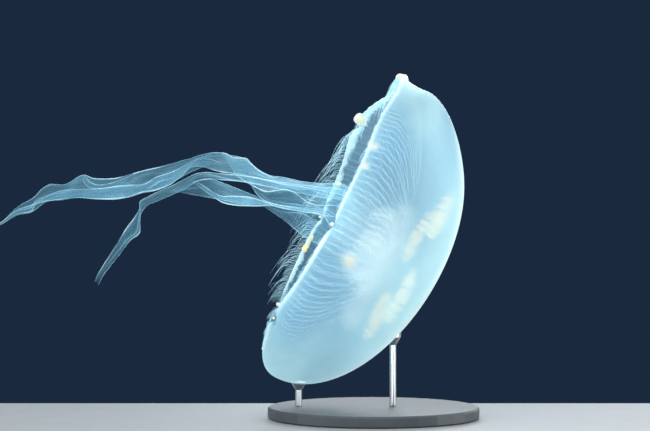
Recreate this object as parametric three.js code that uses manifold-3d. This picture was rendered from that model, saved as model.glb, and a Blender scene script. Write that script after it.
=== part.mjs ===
// Moon jellyfish (Aurelia), a still, life-size display model in its swimming pose, on a plain stand.
// Millimetres, +Z up. The origin is the middle of the stand base's underside. The bell swims towards +X,
// nose down, and its four oral arms trail towards -X.
import * as THREE from "three";
import { mergeVertices } from "three/addons/utils/BufferGeometryUtils.js";
import Module from "manifold-3d";

const wasm = await Module();
wasm.setup();

// --- Driving dimensions ---

const GAP = 0.3; // between neighbouring pieces

// The bell stands on an oblique axis through the middle of its rim.
const RIM_CENTRE = new THREE.Vector3(-30, 0, 123);
const NOSE_DOWN = 28.5; // degrees the apex points below +X
const NOSE_FAR = 2.5; // degrees the apex turns towards +Y

const BELL_RADIUS = 99;
const EQUATOR = 19; // height of the widest ring above the rim plane
const DOME_HEIGHT = 59.3; // from the equator to the apex
const DOME_SAG = 1.2; // the dome sits this much lower than the rim's middle
const TOP_FLATTENING = 0.06; // how much less full the dome is high on its top side, as a share
const RIM_WALL = 2.2; // thickness of the jelly at the rim, and where the lappets begin
const LAPPET_ROOT_WALL = 3.3;
const MARGIN_RING = 14; // height of the ring of facets halfway between the equator and the lappets
const LAPPET_HEIGHT = 9;
const CROWN_RADIUS = 26; // of the round piece of dome at the apex, inside the bell's eighths
const BELL_SEGMENTS = 40;

// The ceiling of the hollow underneath, as rings of [radius, height above the rim plane].
const CEILING = [
  [0, 48],
  [13, 47.3],
  [CROWN_RADIUS, 45.5],
  [37, 43],
  [48, 40],
  [58, 36],
  [67, 31.5],
  [75, 27],
  [82, 22.5],
  [88, 17.5],
  [BELL_RADIUS - LAPPET_ROOT_WALL, LAPPET_HEIGHT + GAP / 2],
];

// How far the margin turns in below the equator: on the flanks, more at the bottom, and outwards at the top.
const CURL = { flank: 8, bottom: 12, top: -1.6 };
const TOP_PINCH = 1;
// Waves that lift or drop the rim: [degrees from the top towards +Y, width in degrees, drop].
const RIM_WAVES = [
  [46, 13, 7.5],
  [-45, 15, 2.8],
  [-134, 14, 3.2],
  [130, 22, -2],
];

const OCTANTS = 8;
const LAPPET_NOTCH = 4.5; // depth of the notch between two lappets
const RHOPALIUM = new THREE.Vector3(2.4, 2.2, 2.6); // half sizes: around, outwards, along the axis

// The strip that carries each octant's tentacles: its share of the octant, and its drop below the lappet.
const FRINGE = { reach: 0.86, width: 1.6, height: 1.2, drop: 0.9 };
// Radii, the mean length, and as shares of the length: how much lengths differ, how far the tips trail
// towards -X, how much they shorten in bending, and how far they sway in and out.
const TENTACLE = {
  perOctant: 7,
  root: 0.7,
  tip: 0.32,
  length: 13,
  spread: 0.35,
  trail: 0.45,
  bend: 0.35,
  sway: 0.12,
};

// Each gonad is a flattened horseshoe in the thick of the jelly, in degrees from the top, sweeping round its
// loop.
const GONADS = {
  first: -35,
  height: 60,
  ringRadius: 40,
  loopRadius: 11,
  thickness: 3,
  flatness: 0.9,
  sweep: 290,
};

const MOUTH_HEIGHT = 31; // of the mouth's lip above the rim plane
const ROOF = CEILING[1][1] - 2 * GAP;
// The stalk's outline, as radius and height, and how far its four corners are drawn out.
const STALK = {
  outline: [
    [0, ROOF],
    [17, ROOF - 2.6],
    [13, ROOF - 6],
    [11, MOUTH_HEIGHT + 5],
    [12.5, MOUTH_HEIGHT + 1.5],
    [11, MOUTH_HEIGHT],
    [0, MOUTH_HEIGHT],
  ],
  corners: 0.14,
};
const ARM_RING = 8; // the arms spring from this radius round the mouth
const ARM_ROOT_WING = 2.2;
const ARM_WALL = { keel: 1.5, lip: 0.8 };
const ARM_STEPS = 4; // facets along each station interval
const RUFFLE = { depth: 0.16, waves: 13 }; // of the lips: a share of the wing's width, and waves on an arm

// Each oral arm is a gutter: a keel with a thin wing above and below. A station gives the keel's x, y, z and
// the widths of the upper and the lower wing. Root is the arm's place round the mouth, in degrees from the
// top, lean is how far the wings tip towards +Y, and cuts are the stations where its lengths part.
const ARMS = {
  upper: {
    root: 10,
    lean: -0.35,
    cuts: [3, 6, 9],
    stations: [
      [-26, 7, 140, 4.3, 6.1],
      [-64, 8, 144, 5.5, 4.9],
      [-87, 6, 152, 9.2, 1.8],
      [-112, 4, 153, 5.5, 1.8],
      [-133, 5, 141, 14, 1.2],
      [-151, 6, 143, 6.1, 7.4],
      [-170, 6, 142, 5.5, 7.4],
      [-181, 5, 146, 3, 10],
      [-202, 3, 139, 4.3, 6.7],
      [-224, 1, 122, 1.8, 1.8],
      [-251, 0, 112, 0.6, 0.6],
    ],
  },
  near: {
    root: 280,
    lean: 0.3,
    cuts: [3, 7],
    stations: [
      [-26, -9, 134, 2.5, 3.7],
      [-68, -11, 137, 2.5, 2.5],
      [-81, -12, 146, 1.8, 2.5],
      [-101, -12, 149, 1.2, 3.7],
      [-119, -10, 141, 1.8, 4.3],
      [-136, -9, 134, 1.8, 2.5],
      [-143, -8, 129, 1.2, 1.8],
      [-150, -8, 117, 1.8, 7.4],
      [-157, -8, 106, 0.6, 5.5],
      [-164, -9, 95, 0.6, 4.9],
      [-169, -10, 83, 0.6, 1.2],
    ],
  },
  lower: {
    root: 190,
    lean: 0.2,
    cuts: [3],
    stations: [
      [-26, -3, 125, 3.7, 3.7],
      [-48, -2, 129, 3.7, 2.5],
      [-62, -1, 131, 1.2, 1.2],
      [-76, 0, 135, 3.7, 4.9],
      [-89, 1, 139, 5.5, 6.1],
      [-104, 2, 141, 3.7, 5.5],
      [-118, 3, 138, 0.6, 0.6],
    ],
  },
  far: {
    root: 100,
    lean: -0.2,
    cuts: [2],
    stations: [
      [-32, 14, 126, 6.1, 12.3],
      [-45, 15, 131, 6.7, 17.2],
      [-57, 15, 132, 6.1, 10.4],
      [-65, 15, 133, 4.9, 5.5],
      [-73, 14, 132, 1.2, 1.8],
    ],
  },
};

const RAY_STEP = 0.5; // in finding where a rod meets the bell
const BASE = { length: 130, width: 100, height: 7, bevel: 1 };
const ROD_RADIUS = 2;
const ROD_HEAD = { radius: 5, height: 5 };
const RODS = [
  { x: -46, y: 1.5, top: 30 },
  { x: 12, y: 3, top: 62 },
];

// --- Materials ---

const finish = (color, roughness, metalness = 0) =>
  new THREE.MeshStandardMaterial({ color, roughness, metalness });
const JELLY = { bell: 0xa6dcec, lappet: 0xbfe9f4, arm: 0x7fb9d6, mouth: 0xa9d8e4 };
const PALE_ORANGE = 0xf3c98a;

// --- Geometry helpers ---

const radians = THREE.MathUtils.degToRad;

// Moves every vertex of a geometry by a function, and leaves one closed mesh whose faces point out.
function shaped(geometry, place) {
  const bare = geometry.clone();
  for (const name of ["normal", "uv"]) bare.deleteAttribute(name);
  const position = bare.getAttribute("position");
  const point = new THREE.Vector3();
  for (let i = 0; i < position.count; i++) {
    const to = place(point.fromBufferAttribute(position, i));
    position.setXYZ(i, to.x, to.y, to.z);
  }
  const merged = mergeVertices(bare, 1e-3);
  const corners = trianglesOf(merged).filter(([a, b, c]) => a !== b && b !== c && c !== a);
  if (signedVolume(merged, corners) < 0) corners.forEach((corner) => corner.reverse());
  merged.setIndex(corners.flat());
  merged.computeVertexNormals();
  return merged;
}

function trianglesOf(geometry) {
  const index = geometry.index.array;
  return Array.from({ length: index.length / 3 }, (_, i) => [...index.slice(3 * i, 3 * i + 3)]);
}

function signedVolume(geometry, corners) {
  const position = geometry.getAttribute("position");
  const [a, b, c] = [0, 1, 2].map(() => new THREE.Vector3());
  return corners.reduce((sum, [i, j, k]) => {
    a.fromBufferAttribute(position, i);
    b.fromBufferAttribute(position, j);
    c.fromBufferAttribute(position, k);
    return sum + a.dot(b.cross(c)) / 6;
  }, 0);
}

function solidOf(geometry) {
  return new wasm.Manifold(
    new wasm.Mesh({
      numProp: 3,
      vertProperties: geometry.getAttribute("position").array,
      triVerts: new Uint32Array(geometry.index.array),
    }),
  );
}

function geometryOf(solid) {
  const { vertProperties, triVerts } = solid.getMesh();
  const geometry = new THREE.BufferGeometry();
  geometry.setAttribute("position", new THREE.BufferAttribute(vertProperties, 3));
  geometry.setIndex(new THREE.BufferAttribute(triVerts, 1));
  geometry.computeVertexNormals();
  return geometry;
}

// --- The bell's own frame: degrees round from the top towards +Y, radius, height above the rim plane ---

const down = radians(NOSE_DOWN);
const far = radians(NOSE_FAR);
const APEX_WARD = new THREE.Vector3(
  Math.cos(down) * Math.cos(far),
  Math.sin(far),
  -Math.sin(down) * Math.cos(far),
);
const TOP_WARD = new THREE.Vector3(Math.sin(down), 0, Math.cos(down));
const FAR_WARD = TOP_WARD.clone().cross(APEX_WARD).normalize();

function inBell(degrees, radius, height) {
  const angle = radians(degrees);
  return RIM_CENTRE.clone()
    .addScaledVector(APEX_WARD, height)
    .addScaledVector(TOP_WARD, radius * Math.cos(angle) - DOME_SAG)
    .addScaledVector(FAR_WARD, radius * Math.sin(angle));
}

// The signed turn from one direction to another, between -180 and 180 degrees.
const turn = (from, to) => THREE.MathUtils.euclideanModulo(to - from + 180, 360) - 180;
const hump = (degrees, centre, width) => Math.exp(-((turn(centre, degrees) / width) ** 2));

// How far down the margin a height is: 0 at the equator and above, 1 at the rim.
const marginShare = (height) => THREE.MathUtils.clamp((EQUATOR - height) / EQUATOR, 0, 1.2);

// The margin's waves, as a change in radius and height that grows towards the rim.
function marginWave(degrees, height) {
  const share = marginShare(height);
  const curl =
    CURL.flank +
    (CURL.bottom - CURL.flank) * hump(degrees, 180, 50) +
    (CURL.top - CURL.flank) * hump(degrees, 0, 32);
  const pinch = TOP_PINCH * hump(degrees, 0, 32) * Math.sin(Math.PI * Math.min(share, 1));
  const drop = RIM_WAVES.reduce((sum, [at, width, d]) => sum + d * hump(degrees, at, width), 0);
  return { outwards: -curl * share ** 2 - pinch, up: -drop * share ** 2 };
}

// How full the dome is: 1 at the equator and the apex, less high on its top side.
function fullness(degrees, height) {
  const rise = THREE.MathUtils.clamp((height - EQUATOR) / DOME_HEIGHT, 0, 1);
  return 1 - TOP_FLATTENING * hump(degrees, 0, 60) * Math.sin(Math.PI * rise ** 1.6);
}

function outerRadius(height) {
  const rise = THREE.MathUtils.clamp((height - EQUATOR) / DOME_HEIGHT, 0, 1);
  return BELL_RADIUS * Math.sqrt(1 - rise ** 2);
}

const lappetWall = (height) => THREE.MathUtils.lerp(RIM_WALL, LAPPET_ROOT_WALL, height / LAPPET_HEIGHT);

// A point of the true bell from one of the plain round bell.
function inLivingBell(degrees, radius, height) {
  const wave = marginWave(degrees, height);
  return inBell(degrees, radius * fullness(degrees, height) + wave.outwards, height + wave.up);
}

// A lathed profile of (radius, height) points, bent to the living bell. Grow pushes its skin outwards.
function bellLathe(profile, grow = 0) {
  const lathe = new THREE.LatheGeometry(profile, BELL_SEGMENTS);
  return shaped(lathe, (p) => {
    const degrees = THREE.MathUtils.radToDeg(Math.atan2(p.x, p.z));
    const radius = Math.hypot(p.x, p.z);
    return inLivingBell(degrees, radius + grow * Math.sign(radius), p.y + grow * (p.y > EQUATOR));
  });
}

// Rings down one side of the bell from the crown's edge to the lappets, as [radius, height] of its outside
// and of its inside.
function rings() {
  const inside = CEILING.slice(2);
  const count = inside.length - 3;
  const outside = inside.slice(0, -2).map((_, i) => {
    const angle = Math.acos(CROWN_RADIUS / BELL_RADIUS) * (1 - i / count);
    return [BELL_RADIUS * Math.cos(angle), EQUATOR + DOME_HEIGHT * Math.sin(angle)];
  });
  for (const height of [MARGIN_RING, LAPPET_HEIGHT + GAP / 2]) outside.push([BELL_RADIUS, height]);
  return { outside, inside };
}

// The round middle of the dome's thick clear jelly.
function crown() {
  const radii = CEILING.slice(0, 3).map(([radius]) => Math.min(radius, CROWN_RADIUS - GAP));
  const dome = (radius) => EQUATOR + DOME_HEIGHT * Math.sqrt(1 - (radius / BELL_RADIUS) ** 2);
  const outside = radii.map((radius) => new THREE.Vector2(radius, dome(radius)));
  const inside = radii.map((radius, i) => new THREE.Vector2(radius, CEILING[i][1])).reverse();
  return bellLathe([...outside, ...inside]);
}

// --- The bell in eight octants: dome, lappets, sense organs and tentacles ---

const OCTANT = 360 / OCTANTS;

// Where a point at a share (-1 to 1) across an octant lies.
const acrossOctant = (i, share) => OCTANT * (i + (share + 1) / 2);

// One eighth of the dome's jelly, from the crown down to where its lappet begins, with the pouch of half a
// gonad.
function octant(i) {
  const { outside, inside } = rings();
  const last = outside.length - 1;
  const box = new THREE.BoxGeometry(1, 1, 1, BELL_SEGMENTS / OCTANTS, 1, last);
  const jelly = shaped(box, (p) => {
    const [radius, height] = (p.y > 0 ? outside : inside)[Math.round((0.5 - p.z) * last)];
    const trim = GAP / (radians(OCTANT) * radius);
    return inLivingBell(acrossOctant(i, 2 * p.x * (1 - trim)), radius, height);
  });
  return geometryOf(solidOf(jelly).subtract(solidOf(gonad(Math.floor(i / 2), 1.5 * GAP))));
}

// How deep the notch between two lappets is at a share across an octant.
const notch = (share) => LAPPET_NOTCH * Math.abs(share) ** 6;

function lappet(i) {
  const box = new THREE.BoxGeometry(1, 1, 1, BELL_SEGMENTS / OCTANTS, 1, 2);
  const trim = GAP / (radians(OCTANT) * BELL_RADIUS);
  return shaped(box, (p) => {
    const share = 2 * p.x * (1 - trim);
    const height = THREE.MathUtils.lerp(notch(2 * p.x), LAPPET_HEIGHT - GAP / 2, 0.5 - p.z);
    const radius = BELL_RADIUS - (p.y > 0 ? 0 : lappetWall(height));
    return inLivingBell(acrossOctant(i, share), radius, height);
  });
}

function rhopalium(i) {
  const ball = new THREE.SphereGeometry(1, 6, 4);
  const degrees = OCTANT * i;
  const radius = BELL_RADIUS - RIM_WALL / 2;
  const height = LAPPET_NOTCH - GAP - RHOPALIUM.z;
  return shaped(ball, (p) => {
    const aside = THREE.MathUtils.radToDeg((p.x * RHOPALIUM.x) / radius);
    return inLivingBell(degrees, radius, height)
      .sub(inBell(degrees, radius, height))
      .add(inBell(degrees + aside, radius + p.y * RHOPALIUM.y, height + p.z * RHOPALIUM.z));
  });
}

// A hanging strip under the lappets that carries a row of tapered tentacles, swept back as the bell moves on.
function fringe(i) {
  const { reach, width, height, drop } = FRINGE;
  const radius = BELL_RADIUS - RIM_WALL / 2;
  const strip = shaped(new THREE.BoxGeometry(1, 1, 1, 6, 1, 1), (p) =>
    inLivingBell(acrossOctant(i, 2 * p.x * reach), radius + p.y * width, 0)
      .addScaledVector(APEX_WARD, notch(2 * p.x * reach) - drop - height * (0.5 - p.z)),
  );
  const inset = 1 - (2 * TENTACLE.root) / (radians(OCTANT) * BELL_RADIUS * reach);
  const tentacles = Array.from({ length: TENTACLE.perOctant }, (_, k) => {
    const share = reach * inset * ((2 * k) / (TENTACLE.perOctant - 1) - 1);
    return tentacle(acrossOctant(i, share), radius, notch(share) - drop - height / 2, k + 3 * i);
  });
  return geometryOf(tentacles.reduce((whole, one) => whole.add(solidOf(one)), solidOf(strip)));
}

// The order seeds a tentacle's own length and sway.
function tentacle(degrees, radius, height, order) {
  const length = TENTACLE.length * (1 + TENTACLE.spread * Math.sin(2.4 * order));
  const sway = TENTACLE.sway * Math.sin(1.7 * order);
  const root = inLivingBell(degrees, radius, 0).addScaledVector(APEX_WARD, height);
  const outwards = inBell(degrees, 1, 0).sub(inBell(degrees, 0, 0));
  const around = APEX_WARD.clone().cross(outwards);
  const back = new THREE.Vector3(-1, 0, 0);
  return shaped(new THREE.CylinderGeometry(TENTACLE.tip, TENTACLE.root, 1, 4, 3), (p) => {
    const along = p.y + 0.5;
    const curve = length * along ** 2;
    return root
      .clone()
      .addScaledVector(APEX_WARD, along * (TENTACLE.bend * curve - length))
      .addScaledVector(back, TENTACLE.trail * curve)
      .addScaledVector(outwards, p.x + sway * curve)
      .addScaledVector(around, p.z);
  });
}

// --- The gonads, mouth and oral arms ---

// A plump horseshoe in the jelly, open towards the middle of the bell. Grow makes it thicker all round.
function gonad(i, grow = 0) {
  const { first, height, ringRadius, loopRadius, thickness, flatness, sweep } = GONADS;
  const degrees = first + 90 * (i + 1);
  const length = radians(sweep) * loopRadius;
  const capsule = new THREE.CapsuleGeometry(thickness + grow, length, 2, 6, 7);
  const middle = radians(degrees);
  return shaped(capsule, (p) => {
    const angle = middle + p.y / loopRadius;
    const loop = loopRadius + p.x;
    const top = ringRadius * Math.cos(middle) + loop * Math.cos(angle);
    const side = ringRadius * Math.sin(middle) + loop * Math.sin(angle);
    const around = THREE.MathUtils.radToDeg(Math.atan2(side, top));
    return inLivingBell(around, Math.hypot(top, side), height + p.z * flatness);
  });
}

// The stalk under the middle of the bell, drawn into four corners at the lip, where the arms begin.
function manubrium() {
  const outline = STALK.outline.map(([radius, height]) => new THREE.Vector2(radius, height));
  const corner = radians(ARMS.upper.root);
  return shaped(new THREE.LatheGeometry(outline, 16), (p) => {
    const angle = Math.atan2(p.x, p.z);
    const drawn = 1 + STALK.corners * Math.cos(4 * (angle - corner));
    return inBell(THREE.MathUtils.radToDeg(angle), Math.hypot(p.x, p.z) * drawn, p.y);
  });
}

// The smooth lines of an arm's keel and of the lips of its two wings, through its stations.
function armLines({ root, lean, stations }) {
  const start = inBell(root, ARM_RING, MOUTH_HEIGHT - GAP);
  const rows = [[...start, ARM_ROOT_WING, ARM_ROOT_WING], ...stations];
  const keel = rows.map(([x, y, z]) => new THREE.Vector3(x, y, z));
  const lip = (wing, side) =>
    rows.map((row, k) => {
      const before = keel[Math.max(k - 1, 0)];
      const after = keel[Math.min(k + 1, keel.length - 1)];
      const across = new THREE.Vector3(after.z - before.z, 0, before.x - after.x).normalize();
      return keel[k]
        .clone()
        .addScaledVector(k === 0 ? TOP_WARD : across, side * row[wing])
        .add(new THREE.Vector3(0, lean * row[wing], 0));
    });
  const curve = (points) => new THREE.CatmullRomCurve3(points);
  return { keel: curve(keel), upper: curve(lip(3, 1)), lower: curve(lip(4, -1)), last: rows.length - 1 };
}

// One length of an arm, between two stations: a box whose three directions run along, across and through it.
function armLength({ keel, upper, lower, last }, from, to) {
  const steps = Math.round((to - from) * ARM_STEPS);
  const box = new THREE.BoxGeometry(1, 1, 1, steps, 2, 1);
  const trimmed = (station, side) => {
    const shares = [station - 0.1, station + 0.1].map((s) => THREE.MathUtils.clamp(s / last, 0, 1));
    const pace = keel.getPoint(shares[0]).distanceTo(keel.getPoint(shares[1]));
    return station + (side * GAP * 0.1) / pace;
  };
  const first = from > 0 ? trimmed(from, 1) : 0;
  const end = to < last ? trimmed(to, -1) : last;
  return shaped(box, (p) => {
    const share = THREE.MathUtils.lerp(first, end, p.x + 0.5) / last;
    const out = Math.abs(2 * p.y);
    const middle = keel.getPoint(share);
    const lip = (p.y > 0 ? upper : lower).getPoint(share);
    const wall = THREE.MathUtils.lerp(ARM_WALL.keel, ARM_WALL.lip, out);
    const swing = Math.sin(2 * Math.PI * RUFFLE.waves * share + Math.sign(p.y));
    const ruffle = RUFFLE.depth * middle.distanceTo(lip) * swing * out;
    return middle.lerp(lip, out).add(new THREE.Vector3(0, p.z * wall + ruffle, 0));
  });
}

// --- The stand ---

function standBase() {
  const { length, width, height, bevel } = BASE;
  const outline = new THREE.Shape().absellipse(0, 0, length / 2 - bevel, width / 2 - bevel, 0, 2 * Math.PI);
  const slab = new THREE.ExtrudeGeometry(outline, {
    depth: height - 2 * bevel,
    bevelThickness: bevel,
    bevelSize: bevel,
    bevelSegments: 1,
    curveSegments: 16,
  });
  return shaped(slab, (p) => p.setZ(p.z + bevel));
}

// A round rod with a flared head, cut to the bell's outside.
function standRod({ x, y, top }) {
  const foot = BASE.height + GAP;
  const under = RAY_STEP * Math.ceil(restingHeight(x, y) / RAY_STEP);
  const profile = [
    [0, foot],
    [ROD_RADIUS, foot],
    [ROD_RADIUS, under - ROD_HEAD.height],
    [ROD_HEAD.radius, under],
    [ROD_HEAD.radius, top],
    [0, top],
  ].map(([radius, height]) => new THREE.Vector2(radius, height));
  const rod = shaped(new THREE.LatheGeometry(profile, 16), (p) => new THREE.Vector3(p.x + x, p.z + y, p.y));
  return geometryOf(solidOf(rod).subtract(BELL_HULL));
}

// The height at which a vertical line meets the underside of the bell's dome.
function restingHeight(x, y) {
  for (let z = 0; ; z += RAY_STEP) {
    const from = new THREE.Vector3(x, y, z).sub(RIM_CENTRE);
    const height = from.dot(APEX_WARD);
    const radius = Math.hypot(from.dot(TOP_WARD) + DOME_SAG, from.dot(FAR_WARD));
    if (height > EQUATOR && radius < outerRadius(height)) return z;
  }
}

// The filled bell, a gap larger all round, which the rods' heads are cut to.
const BELL_HULL = solidOf(
  bellLathe(
    [
      [0, EQUATOR + DOME_HEIGHT],
      ...rings().outside,
      [0, LAPPET_HEIGHT + GAP / 2],
    ].map(([radius, height]) => new THREE.Vector2(radius, height)),
    GAP,
  ),
);

// --- The jellyfish and its stand ---

const jellyfish = new THREE.Group();

function add(name, geometry, material) {
  const mesh = new THREE.Mesh(geometry, material);
  mesh.name = name;
  jellyfish.add(mesh);
}

add("bell_crown", crown(), finish(JELLY.bell, 0.25));
for (let i = 0; i < OCTANTS; i++) {
  add(`bell_${i + 1}`, octant(i), finish(JELLY.bell, 0.25));
  add(`lappet_${i + 1}`, lappet(i), finish(JELLY.lappet, 0.25));
  add(`rhopalium_${i + 1}`, rhopalium(i), finish(PALE_ORANGE, 0.4));
  add(`tentacles_${i + 1}`, fringe(i), finish(JELLY.lappet, 0.3));
}
for (let i = 0; i < 4; i++) add(`gonad_${i + 1}`, gonad(i), finish(PALE_ORANGE, 0.5));
add("manubrium", manubrium(), finish(JELLY.mouth, 0.3));
for (const [name, arm] of Object.entries(ARMS)) {
  const lines = armLines(arm);
  const cuts = [0, ...arm.cuts, lines.last];
  for (let i = 0; i + 1 < cuts.length; i++) {
    add(`arm_${name}_${i + 1}`, armLength(lines, cuts[i], cuts[i + 1]), finish(JELLY.arm, 0.3));
  }
}
add("stand_base", standBase(), finish(0x22262b, 0.4));
RODS.forEach((rod, i) => add(`stand_rod_${i + 1}`, standRod(rod), finish(0xb9bdc2, 0.3, 1)));

export default jellyfish;
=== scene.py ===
# The looks of a life-size moon jellyfish on its display stand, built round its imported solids.
import math

import bpy
import numpy as np
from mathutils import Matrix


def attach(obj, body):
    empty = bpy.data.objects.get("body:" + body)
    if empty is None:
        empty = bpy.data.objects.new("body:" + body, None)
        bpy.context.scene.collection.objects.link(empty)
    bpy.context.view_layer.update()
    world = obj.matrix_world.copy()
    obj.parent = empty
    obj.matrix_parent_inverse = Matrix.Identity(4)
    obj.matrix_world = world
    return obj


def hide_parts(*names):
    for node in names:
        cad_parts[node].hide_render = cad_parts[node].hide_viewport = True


# --- The room -------------------------------------------------------------------------------------------
# A level long lens at the height of the rim's middle, five softboxes, a pale shelf under the stand and a
# plain dark wall of no particular distance behind, which the clear jelly needs to show against.

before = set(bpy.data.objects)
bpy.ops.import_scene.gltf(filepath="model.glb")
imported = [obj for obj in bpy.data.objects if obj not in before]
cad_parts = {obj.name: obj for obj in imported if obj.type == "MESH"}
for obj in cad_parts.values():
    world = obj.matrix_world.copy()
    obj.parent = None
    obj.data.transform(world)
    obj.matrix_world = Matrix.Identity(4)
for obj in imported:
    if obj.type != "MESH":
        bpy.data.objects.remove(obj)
scene = bpy.context.scene
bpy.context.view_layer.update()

EYE = (-0.0298, -0.942, 0.1242)
LENS = 85
camera = bpy.data.objects.new("camera", bpy.data.cameras.new("camera"))
camera.data.lens, camera.data.sensor_width = LENS, 36
camera.location, camera.rotation_euler = EYE, (math.pi / 2, 0, 0)
scene.collection.objects.link(camera)
scene.camera = camera
scene.view_settings.view_transform = "Standard"
scene.cycles.transparent_max_bounces = 64
scene.cycles.max_bounces = 8


class Socket:
    """A socket of a node tree. Maths on it adds Math nodes to its tree."""

    def __init__(self, nodes, plug):
        self.nodes, self.plug = nodes, plug

    def math(self, operation, *others):
        return self.nodes.add("ShaderNodeMath", {"operation": operation}, dict(enumerate((self, *others))))

    def __add__(self, other):
        return self.math("ADD", other)

    __radd__ = __add__

    def __sub__(self, other):
        return self.math("SUBTRACT", other)

    def __rsub__(self, other):
        return self.math("MULTIPLY_ADD", -1.0, other)

    def __mul__(self, other):
        return self.math("MULTIPLY", other)

    __rmul__ = __mul__

    def __truediv__(self, other):
        return self.math("DIVIDE", other)

    def __pow__(self, other):
        return self.math("POWER", other)


class Nodes:
    """The nodes of a tree, added one at a time."""

    def __init__(self, tree):
        self.tree = tree

    def add(self, kind, settings=(), sockets=(), output=0):
        node = self.tree.nodes.new(kind)
        for name, value in dict(settings).items():
            setattr(node, name, value)
        for name, value in dict(sockets).items():
            if isinstance(value, Socket):
                self.tree.links.new(value.plug, node.inputs[name])
            else:
                node.inputs[name].default_value = value
        return Socket(self, node.outputs[output])

    def fade(self, value, low, high):
        """A smooth step from 0 at low to 1 at high."""
        edges = {"Value": value, "From Min": low, "From Max": high}
        return self.add("ShaderNodeMapRange", {"interpolation_type": "SMOOTHSTEP"}, edges)

    def tint(self, share, first, second):
        """The first colour, turning to the second as share goes from 0 to 1."""
        first, second = [c if isinstance(c, Socket) else (*c, 1) for c in (first, second)]
        return self.add("ShaderNodeMix", {"data_type": "RGBA"}, {0: share, 6: first, 7: second}, 2)

    def noise(self, where, scale, detail=2.0, roughness=0.5, distortion=0.0):
        sockets = {"Vector": where, "Scale": scale, "Detail": detail, "Roughness": roughness}
        return self.add("ShaderNodeTexNoise", (), {**sockets, "Distortion": distortion}, "Fac")

    def place(self):
        """Where a point of the piece is, in metres."""
        return self.add("ShaderNodeTexCoord", (), (), "Object")

    def along(self, round_it, down_it):
        """The piece's own map, round it and down its length, stretched."""
        where = self.add("ShaderNodeUVMap", {"uv_map": "along"}, (), "UV")
        stretched = {0: where, 1: (round_it, down_it, 0)}
        return self.add("ShaderNodeVectorMath", {"operation": "MULTIPLY"}, stretched)

    def facing(self):
        """How slanting the look is, from 0 straight on to 1 along the surface."""
        return self.add("ShaderNodeLayerWeight", (), {"Blend": 0.5}, "Facing")

    def attribute(self, name):
        return self.add("ShaderNodeAttribute", {"attribute_name": name}, (), "Fac")

    def bump(self, height, distance, strength=1.0):
        return self.add("ShaderNodeBump", (), {"Height": height, "Distance": distance, "Strength": strength})

    def show(self, shader):
        kind = "ShaderNodeOutputWorld" if self.tree == scene.world.node_tree else "ShaderNodeOutputMaterial"
        self.tree.links.new(shader.plug, self.tree.nodes.new(kind).inputs["Surface"])


def bare_material(name):
    material = bpy.data.materials.new(name)
    material.use_nodes = True
    material.node_tree.nodes.clear()
    return material, Nodes(material.node_tree)


def opaque(n, colour, roughness, normal, metallic=0.0):
    """Shows a plain solid surface."""
    sockets = {"Base Color": colour, "Roughness": roughness, "Normal": normal, "Metallic": metallic}
    n.show(n.add("ShaderNodeBsdfPrincipled", (), sockets))


MIDDLE = (-0.03, 0, 0.12)


def softbox(name, place, width, height, watts, colour):
    """A lamp of a width and a height that faces the middle of the animal."""
    lamp = bpy.data.lights.new(name, "AREA")
    lamp.shape, lamp.size, lamp.size_y, lamp.energy, lamp.color = "RECTANGLE", width, height, watts, colour
    box = bpy.data.objects.new(name, lamp)
    box.location = place
    direction = np.subtract(MIDDLE, place)
    box.rotation_euler = (
        math.atan2(math.hypot(direction[0], direction[1]), -direction[2]),
        0,
        math.atan2(direction[1], direction[0]) - math.pi / 2,
    )
    box.visible_camera = False
    scene.collection.objects.link(box)


softbox("softbox_over", (-0.2, -0.4, 0.8), 0.7, 0.5, 5.6, (1.0, 0.98, 0.95))
softbox("softbox_right", (0.75, -0.15, 0.3), 0.5, 0.6, 6.5, (1.0, 0.98, 0.95))
softbox("softbox_behind", (0.2, 0.75, 0.5), 0.8, 0.4, 5.2, (0.92, 0.96, 1.0))
softbox("softbox_low", (-0.05, -0.75, -0.12), 0.6, 0.3, 5.0, (0.88, 0.99, 1.0))
softbox("softbox_left", (-0.7, -0.5, 0.35), 0.5, 0.5, 5.4, (1.0, 0.98, 0.96))

WALL = (0.0104, 0.0222, 0.0465)
AMBIENT, AMBIENT_STRENGTH = (0.40, 0.55, 0.66), 0.58
scene.world = bpy.data.worlds.new("room")
scene.world.use_nodes = True
scene.world.node_tree.nodes.clear()
room = Nodes(scene.world.node_tree)
seen = room.add("ShaderNodeLightPath", (), (), "Is Camera Ray")
ambient = room.add("ShaderNodeBackground", (), {"Color": (*AMBIENT, 1), "Strength": AMBIENT_STRENGTH})
wall = room.add("ShaderNodeBackground", (), {"Color": (*WALL, 1)})
room.show(room.add("ShaderNodeMixShader", (), {0: seen, 1: ambient, 2: wall}))


def link(mesh, name):
    piece = bpy.data.objects.new(name, mesh)
    scene.collection.objects.link(piece)
    return piece


# The shelf is a rounded slab whose top is the floor that the stand rests on.
SHELF = {"left": -0.36, "right": 0.27, "front": -0.16, "back": 0.075, "thick": 0.012}
CORNER, CORNER_STEPS = 0.03, 12
corners = []
for x, y, first in (
    (SHELF["right"], SHELF["back"], 0),
    (SHELF["left"], SHELF["back"], 90),
    (SHELF["left"], SHELF["front"], 180),
    (SHELF["right"], SHELF["front"], 270),
):
    inset = [side - math.copysign(CORNER, side) for side in (x, y)]
    for step in range(CORNER_STEPS + 1):
        angle = math.radians(first + 90 * step / CORNER_STEPS)
        corners.append((inset[0] + CORNER * math.cos(angle), inset[1] + CORNER * math.sin(angle)))
count = len(corners)
slab = bpy.data.meshes.new("shelf")
slab.from_pydata(
    [(x, y, z) for z in (0, -SHELF["thick"]) for x, y in corners],
    [],
    [list(range(count)), list(range(2 * count - 1, count - 1, -1))]
    + [(i, i + count, (i + 1) % count + count, (i + 1) % count) for i in range(count)],
)
shelf = link(slab, "shelf")
edge = shelf.modifiers.new("edge", "BEVEL")
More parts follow.
